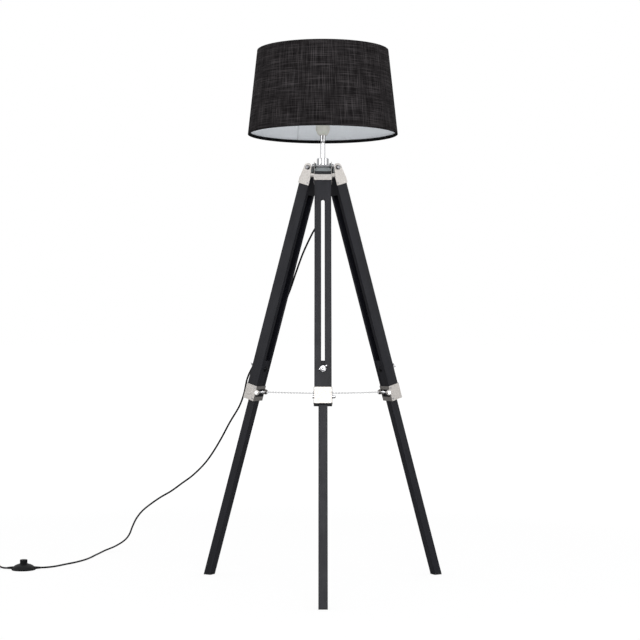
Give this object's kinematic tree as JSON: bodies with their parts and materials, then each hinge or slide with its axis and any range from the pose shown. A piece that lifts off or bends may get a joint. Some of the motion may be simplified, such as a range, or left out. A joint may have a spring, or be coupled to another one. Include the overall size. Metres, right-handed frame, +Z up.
{
  "type": "tripod floor lamp",
  "caption": "Floor lamp with a tapered drum shade on a folding wooden tripod, telescopic legs with wing nuts, chain spreader, and an inline foot switch on its cord.",
  "frame": {"origin": "on the floor, straight under the lamp's vertical axis, at the middle of the three feet", "axes": "+Z up along the stem, the front leg spreads along -Y, +X is to the right seen from the front"},
  "size_m": [1.3631, 1.0141, 1.424],
  "materials": {
    "black_wood": "satin black lacquer over fine-grained hardwood",
    "chrome": "polished plate",
    "satin_plate": "satin nickel plate over pressed sheet",
    "dark_steel": "plain zinc casting and steel thread",
    "white_plastic": "white thermoplastic",
    "brass": "stamped sheet",
    "opal_glass": "opal",
    "shade_linen": "black slubby linen over a white lining",
    "white_wire": "white powder coat",
    "rubber": "matte",
    "black_plastic": "fine moulded",
    "cord_black": "smooth flexible sheath"
  },
  "bodies": {
    "root": {"hub": "dark_steel", "collar": "chrome", "threaded_tube": "dark_steel", "lock_nut": "chrome", "cord_gland": "black_plastic", "hinge_bolts": "chrome", "stem": "chrome", "holder_cap": "white_plastic", "holder_body": "white_plastic", "holder_insert": "white_plastic", "screw_shell": "brass", "holder_contact": "brass", "shade_wall": "shade_linen", "shade_top_wire": "white_wire", "shade_spider": "white_wire", "front_chain": "chrome", "right_chain": "chrome", "left_chain": "chrome", "chain_ring": "chrome", "switch_base": "black_plastic", "switch_cover": "black_plastic", "lamp_cord": "cord_black", "plug_lead": "cord_black", "cord_coil": "cord_black", "plug_body": "black_plastic", "plug_pins": "chrome"},
    "shade_ring": {"shade_ring": "white_plastic"},
    "bulb": {"bulb_globe": "opal_glass", "bulb_cap": "chrome"},
    "switch_button": {"switch_button": "black_plastic"},
    "front_leg": {"front_upper_leg": "black_wood", "front_top_bracket": "satin_plate", "front_low_bracket": "satin_plate", "front_screws": "dark_steel", "front_cross_bolt": "chrome", "front_chain_eye": "chrome"},
    "front_foot": {"front_lower_leg": "black_wood", "front_foot_pad": "rubber", "front_adjuster_bolt": "chrome"},
    "front_nut": {"front_wing_nut": "chrome"},
    "right_leg": {"right_upper_leg": "black_wood", "right_top_bracket": "satin_plate", "right_low_bracket": "satin_plate", "right_screws": "dark_steel", "right_cross_bolt": "chrome", "right_chain_eye": "chrome"},
    "right_foot": {"right_lower_leg": "black_wood", "right_foot_pad": "rubber", "right_adjuster_bolt": "chrome"},
    "right_nut": {"right_wing_nut": "chrome"},
    "left_leg": {"left_upper_leg": "black_wood", "left_top_bracket": "satin_plate", "left_low_bracket": "satin_plate", "left_screws": "dark_steel", "left_cross_bolt": "chrome", "left_chain_eye": "chrome"},
    "left_foot": {"left_lower_leg": "black_wood", "left_foot_pad": "rubber", "left_adjuster_bolt": "chrome"},
    "left_nut": {"left_wing_nut": "chrome"}
  },
  "joints": [
    {"name": "front_fold", "type": "hinge", "parent": "root", "child": "front_leg", "pos_m": [0, -0.033, 1.112], "axis": [1, 0, 0], "range_deg": [0, 13.5], "deforming": ["front_chain"]},
    {"name": "front_extend", "type": "slide", "parent": "front_leg", "child": "front_foot", "axis": [0, 0.289, 0.9573], "range_m": [0, 0.44]},
    {"name": "front_wing_turn", "type": "hinge", "parent": "front_foot", "child": "front_nut", "pos_m": [0, -0.21592, 0.58226], "axis": [0, -0.9573, 0.289], "continuous": true},
    {"name": "right_fold", "type": "hinge", "parent": "root", "child": "right_leg", "pos_m": [0.02858, 0.0165, 1.112], "axis": [-0.5, 0.866, 0], "range_deg": [0, 13.5], "deforming": ["right_chain"]},
    {"name": "right_extend", "type": "slide", "parent": "right_leg", "child": "right_foot", "axis": [-0.2503, -0.1445, 0.9573], "range_m": [0, 0.44]},
    {"name": "right_wing_turn", "type": "hinge", "parent": "right_foot", "child": "right_nut", "pos_m": [0.18699, 0.10796, 0.58226], "axis": [0.8291, 0.4787, 0.289], "continuous": true},
    {"name": "left_fold", "type": "hinge", "parent": "root", "child": "left_leg", "pos_m": [-0.02858, 0.0165, 1.112], "axis": [-0.5, -0.866, 0], "range_deg": [0, 13.5], "deforming": ["left_chain"]},
    {"name": "left_extend", "type": "slide", "parent": "left_leg", "child": "left_foot", "axis": [0.2503, -0.1445, 0.9573], "range_m": [0, 0.44]},
    {"name": "left_wing_turn", "type": "hinge", "parent": "left_foot", "child": "left_nut", "pos_m": [-0.18699, 0.10796, 0.58226], "axis": [-0.8291, 0.4787, 0.289], "continuous": true},
    {"name": "button_press", "type": "slide", "parent": "root", "child": "switch_button", "axis": [0, 0, -1], "range_m": [0, 0.0035], "stiffness_N_per_m": 300},
    {"name": "bulb_screw", "type": "hinge", "parent": "root", "child": "bulb", "pos_m": [0, 0, 1.23], "axis": [0, 0, 1], "continuous": true},
    {"name": "shade_ring_turn", "type": "hinge", "parent": "root", "child": "shade_ring", "pos_m": [0, 0, 1.244], "axis": [0, 0, 1], "continuous": true}
  ]
}
